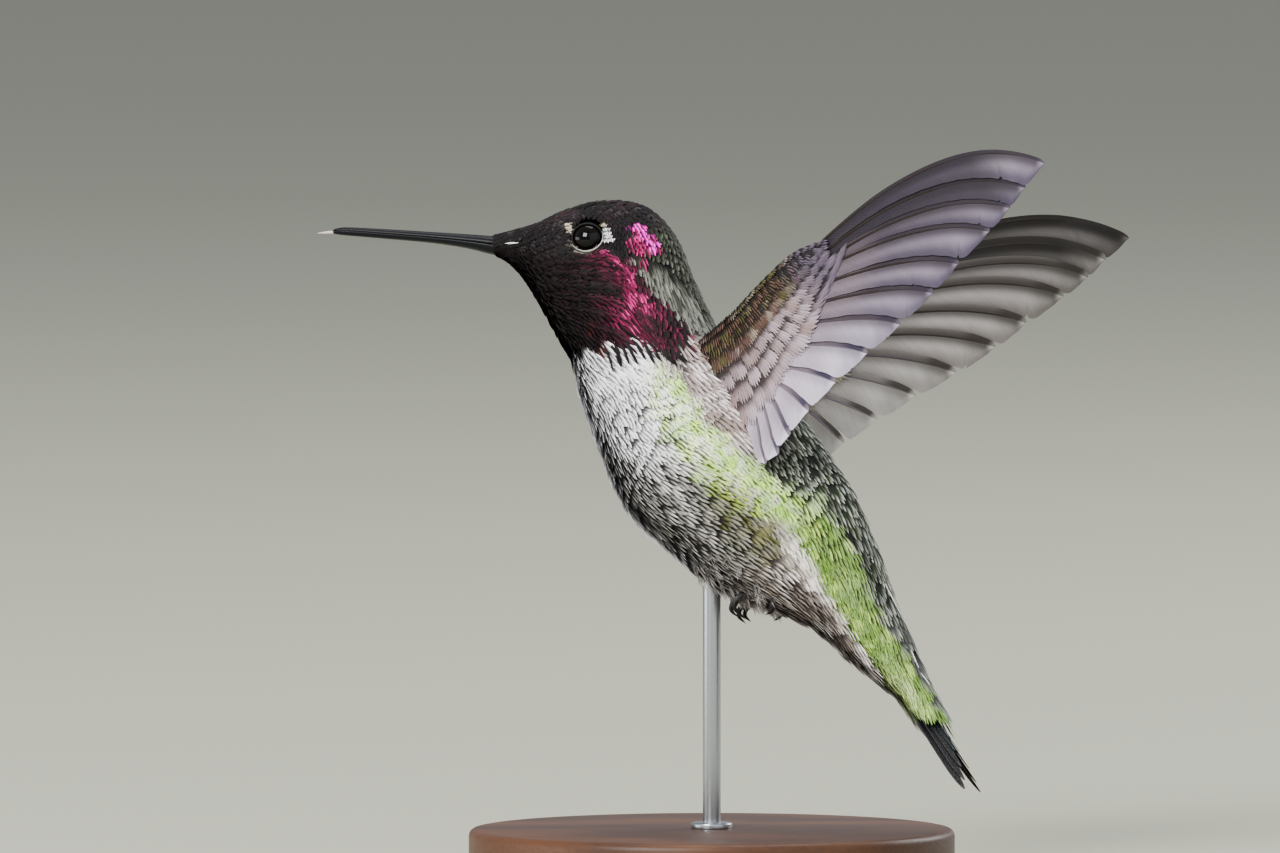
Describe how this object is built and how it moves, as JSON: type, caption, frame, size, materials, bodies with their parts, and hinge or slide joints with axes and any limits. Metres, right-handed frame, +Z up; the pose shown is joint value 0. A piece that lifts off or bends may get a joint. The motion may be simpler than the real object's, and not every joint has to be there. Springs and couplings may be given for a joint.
{
  "type": "anna's hummingbird",
  "caption": "Life-size still model of a hovering adult male Anna's hummingbird, wings raised and swept back, held on a rod over a flat round base.",
  "frame": {"origin": "centre of the stand's flat underside, on the surface it stands on", "axes": "+Z up; -X the way the bill points; the bird's left side faces -Y and is banked up 10.1 degrees about X"},
  "size_m": [0.087, 0.066, 0.0811],
  "materials": {
    "bill": "black horn, satin, with a faint blue sheen on the ridge",
    "tongue": "thin pale moist thread",
    "eye": "wet, near-black brown, high gloss",
    "head_feathers": "small scale-like iridescent feathers, rose pink to maroon black, white by the eye",
    "neck_feathers": "rose iridescent throat feathers, grey-green nape, whitish under the throat",
    "trunk_feathers": "whitish-grey breast with dusky barbs, yellow-green sides, bronze-green scaled back",
    "covert_feathers": "golden-green above, white and dusky below",
    "wing_coverts": "lilac-grey and brown small coverts",
    "flight_feathers": "thin grey-brown vanes, darker along the shafts, satin",
    "tail_feathers": "sooty black outer feathers, teal-green middle pair with pale shafts",
    "leg_feathers": "soft whitish down",
    "foot": "black scaly skin and claws",
    "stand_wood": "turned walnut, satin oil finish",
    "stand_metal": "drawn steel rod, satin"
  },
  "bodies": {
    "root": {"head": "head_feathers", "neck": "neck_feathers", "trunk": "trunk_feathers", "tail_coverts": "covert_feathers", "bill_upper": "bill", "bill_lower": "bill", "tongue_tip": "tongue", "wing_left_arm": "wing_coverts", "wing_left_hand": "wing_coverts", "wing_left_primary_10": "flight_feathers", "wing_left_primary_9": "flight_feathers", "wing_left_primary_8": "flight_feathers", "wing_left_primary_7": "flight_feathers", "wing_left_primary_6": "flight_feathers", "wing_left_primary_5": "flight_feathers", "wing_left_primary_4": "flight_feathers", "wing_left_primary_3": "flight_feathers", "wing_left_primary_2": "flight_feathers", "wing_left_primary_1": "flight_feathers", "wing_left_secondary_outer": "flight_feathers", "wing_left_secondary_middle": "flight_feathers", "wing_left_secondary_inner": "flight_feathers", "eye_left": "eye", "foot_left": "foot", "wing_right_arm": "wing_coverts", "wing_right_hand": "wing_coverts", "wing_right_primary_10": "flight_feathers", "wing_right_primary_9": "flight_feathers", "wing_right_primary_8": "flight_feathers", "wing_right_primary_7": "flight_feathers", "wing_right_primary_6": "flight_feathers", "wing_right_primary_5": "flight_feathers", "wing_right_primary_4": "flight_feathers", "wing_right_primary_3": "flight_feathers", "wing_right_primary_2": "flight_feathers", "wing_right_primary_1": "flight_feathers", "wing_right_secondary_outer": "flight_feathers", "wing_right_secondary_middle": "flight_feathers", "wing_right_secondary_inner": "flight_feathers", "eye_right": "eye", "foot_right": "foot", "leg_right": "leg_feathers", "leg_left": "leg_feathers", "tail_feather_right_1": "tail_feathers", "tail_feather_left_1": "tail_feathers", "tail_feather_right_2": "tail_feathers", "tail_feather_left_2": "tail_feathers", "tail_feather_right_3": "tail_feathers", "tail_feather_left_3": "tail_feathers", "tail_feather_right_4": "tail_feathers", "tail_feather_left_4": "tail_feathers", "tail_feather_right_5": "tail_feathers", "tail_feather_left_5": "tail_feathers", "stand_base": "stand_wood", "stand_rod": "stand_metal"}
  },
  "joints": []
}
